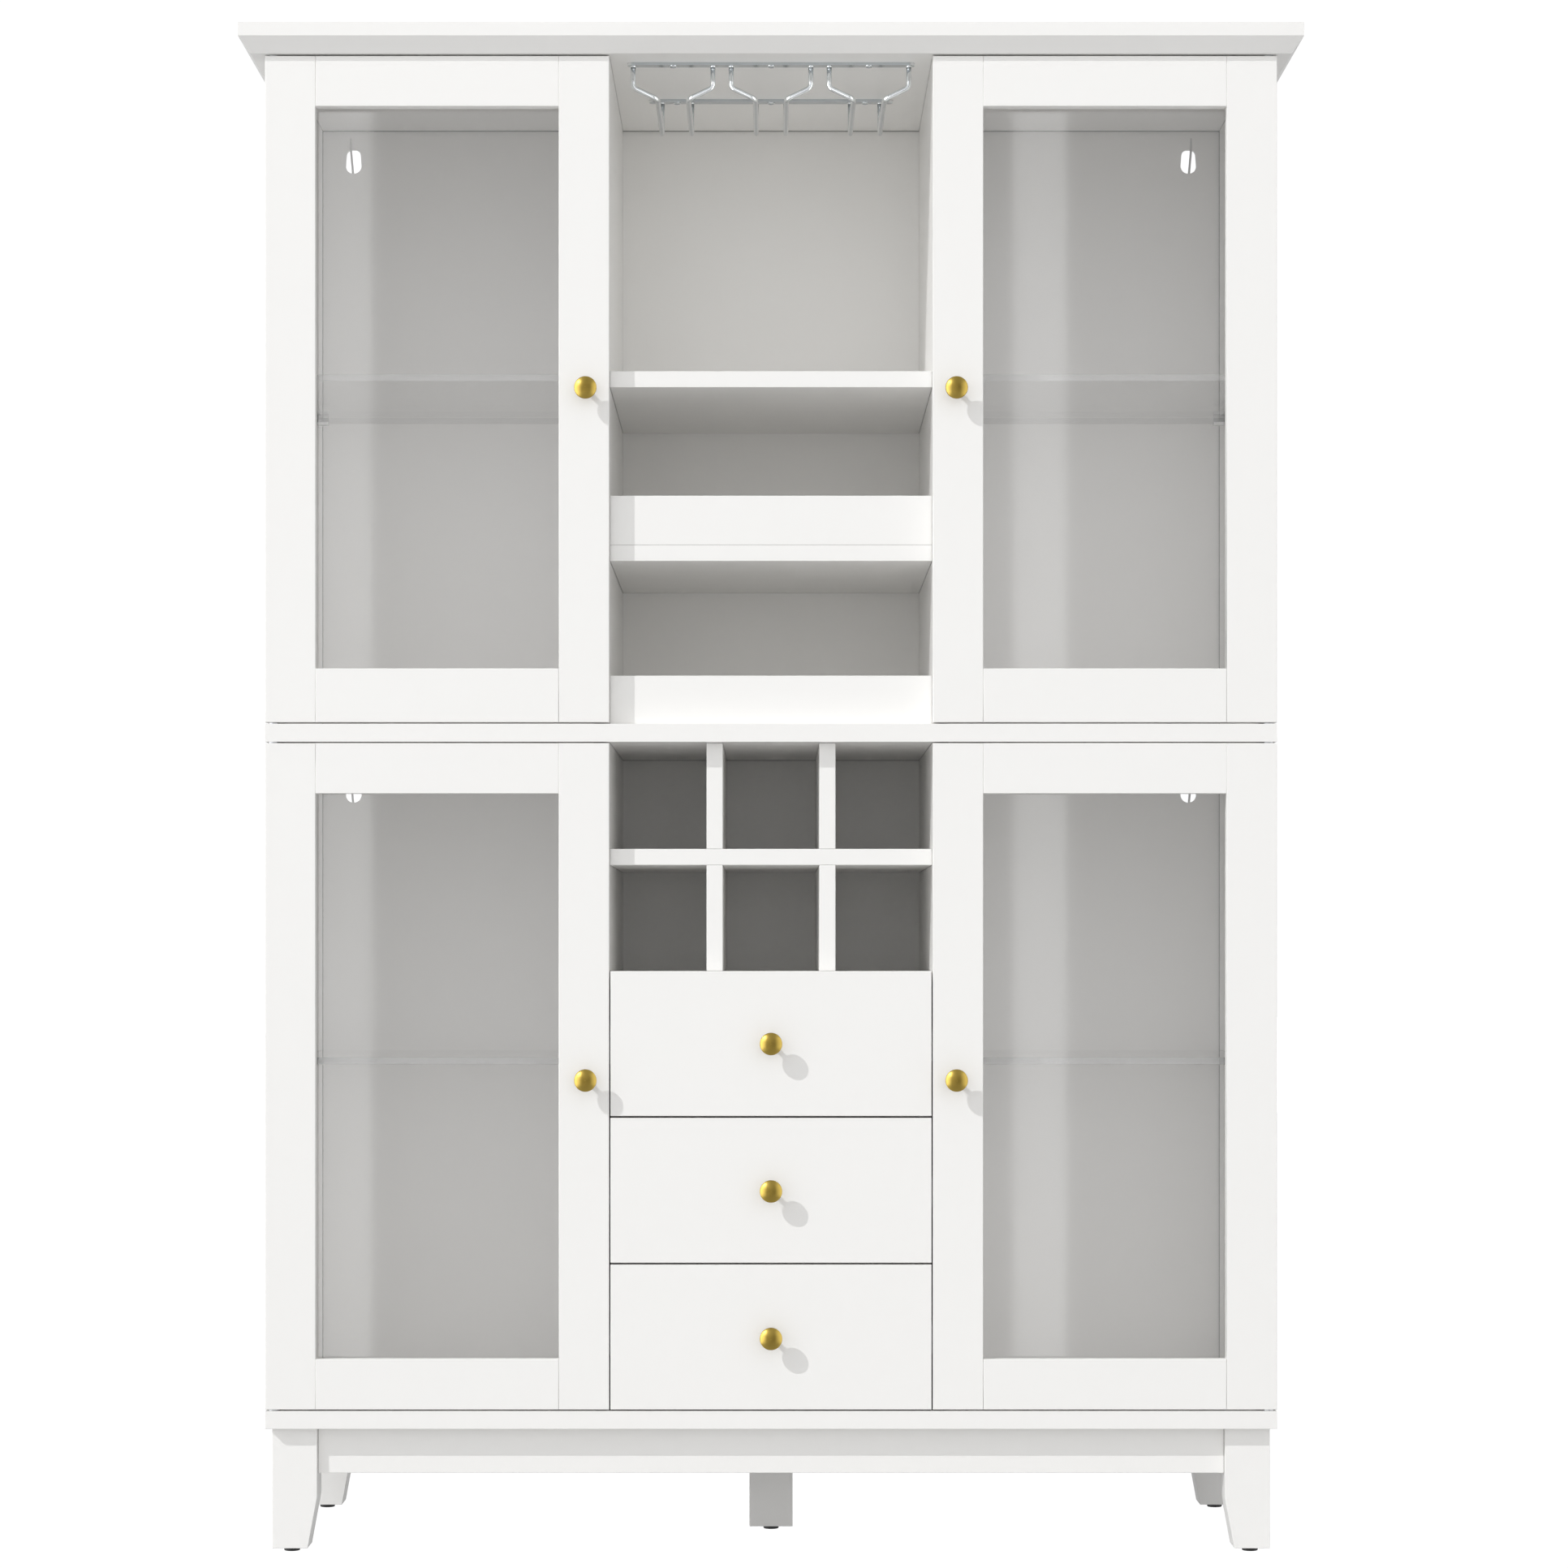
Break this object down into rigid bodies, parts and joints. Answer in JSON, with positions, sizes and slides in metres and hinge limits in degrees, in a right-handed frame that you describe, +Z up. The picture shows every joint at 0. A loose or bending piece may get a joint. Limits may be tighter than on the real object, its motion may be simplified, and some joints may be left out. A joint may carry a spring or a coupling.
{
  "type": "wine cabinet",
  "caption": "White free-standing wine cabinet with framed glass doors, a bar bay with a stemware rack and bottle shelves, a wine-bottle rack, drawers and tapered legs.",
  "frame": {"origin": "on the floor under the centre leg, half way through the width and depth of the body", "axes": "+Z up, the doors and drawers face -Y, +X to the right seen from the front"},
  "size_m": [1.181, 0.4249, 1.7],
  "materials": {
    "white_lacquer": "satin white lacquer on board",
    "white_board": "smooth white foil on thin board",
    "door_glass": "clear float glass",
    "shelf_glass": "clear glass, polished edges",
    "clear_plastic": "clear moulded plastic",
    "satin_brass": "satin brass",
    "bright_wire": "bright chrome plate",
    "zinc_steel": "zinc plate",
    "black_plastic": "matt black",
    "white_plastic": "matt white",
    "grey_nylon": "matt light grey nylon"
  },
  "bodies": {
    "cabinet": {"crown": "white_lacquer", "mid_board": "white_lacquer", "bottom_board": "white_lacquer", "upper_left_side": "white_lacquer", "upper_right_side": "white_lacquer", "lower_left_side": "white_lacquer", "lower_right_side": "white_lacquer", "upper_dividers": "white_lacquer", "lower_dividers": "white_lacquer", "display_shelf": "white_lacquer", "bottle_shelf": "white_lacquer", "bottle_lips": "white_lacquer", "rack_base": "white_lacquer", "rack_shelf": "white_lacquer", "rack_uprights": "white_lacquer", "corner_legs": "white_lacquer", "centre_leg": "white_lacquer", "front_apron": "white_lacquer", "base_rails": "white_lacquer", "upper_back_panel": "white_board", "lower_back_panel": "white_board", "glass_shelves": "shelf_glass", "shelf_pins": "clear_plastic", "stemware_bars": "bright_wire", "stemware_wires": "bright_wire", "stemware_screws": "bright_wire", "pivot_pins": "zinc_steel", "drawer_runners": "zinc_steel", "glides": "black_plastic", "door_catches": "white_plastic", "anti_tip_straps": "grey_nylon"},
    "upper_left_door": {"upper_left_door_frame": "white_lacquer", "upper_left_door_glass": "door_glass", "upper_left_door_clips": "zinc_steel", "upper_left_door_knob": "satin_brass"},
    "upper_right_door": {"upper_right_door_frame": "white_lacquer", "upper_right_door_glass": "door_glass", "upper_right_door_clips": "zinc_steel", "upper_right_door_knob": "satin_brass"},
    "lower_left_door": {"lower_left_door_frame": "white_lacquer", "lower_left_door_glass": "door_glass", "lower_left_door_clips": "zinc_steel", "lower_left_door_knob": "satin_brass"},
    "lower_right_door": {"lower_right_door_frame": "white_lacquer", "lower_right_door_glass": "door_glass", "lower_right_door_clips": "zinc_steel", "lower_right_door_knob": "satin_brass"},
    "top_drawer": {"top_drawer_front": "white_lacquer", "top_drawer_box": "white_board", "top_drawer_knob": "satin_brass", "top_drawer_runners": "zinc_steel"},
    "middle_drawer": {"middle_drawer_front": "white_lacquer", "middle_drawer_box": "white_board", "middle_drawer_knob": "satin_brass", "middle_drawer_runners": "zinc_steel"},
    "bottom_drawer": {"bottom_drawer_front": "white_lacquer", "bottom_drawer_box": "white_board", "bottom_drawer_knob": "satin_brass", "bottom_drawer_runners": "zinc_steel"}
  },
  "joints": [
    {"name": "upper_left_door_hinge", "type": "hinge", "parent": "cabinet", "child": "upper_left_door", "pos_m": [-0.5535, -0.191, 1.296], "axis": [0, 0, -1], "range_deg": [0, 100]},
    {"name": "upper_right_door_hinge", "type": "hinge", "parent": "cabinet", "child": "upper_right_door", "pos_m": [0.5535, -0.191, 1.296], "axis": [0, 0, 1], "range_deg": [0, 100]},
    {"name": "lower_left_door_hinge", "type": "hinge", "parent": "cabinet", "child": "lower_left_door", "pos_m": [-0.5535, -0.191, 0.532], "axis": [0, 0, -1], "range_deg": [0, 100]},
    {"name": "lower_right_door_hinge", "type": "hinge", "parent": "cabinet", "child": "lower_right_door", "pos_m": [0.5535, -0.191, 0.532], "axis": [0, 0, 1], "range_deg": [0, 100]},
    {"name": "top_drawer_slide", "type": "slide", "parent": "cabinet", "child": "top_drawer", "axis": [0, -1, 0], "range_m": [0, 0.255]},
    {"name": "middle_drawer_slide", "type": "slide", "parent": "cabinet", "child": "middle_drawer", "axis": [0, -1, 0], "range_m": [0, 0.255]},
    {"name": "bottom_drawer_slide", "type": "slide", "parent": "cabinet", "child": "bottom_drawer", "axis": [0, -1, 0], "range_m": [0, 0.255]}
  ]
}
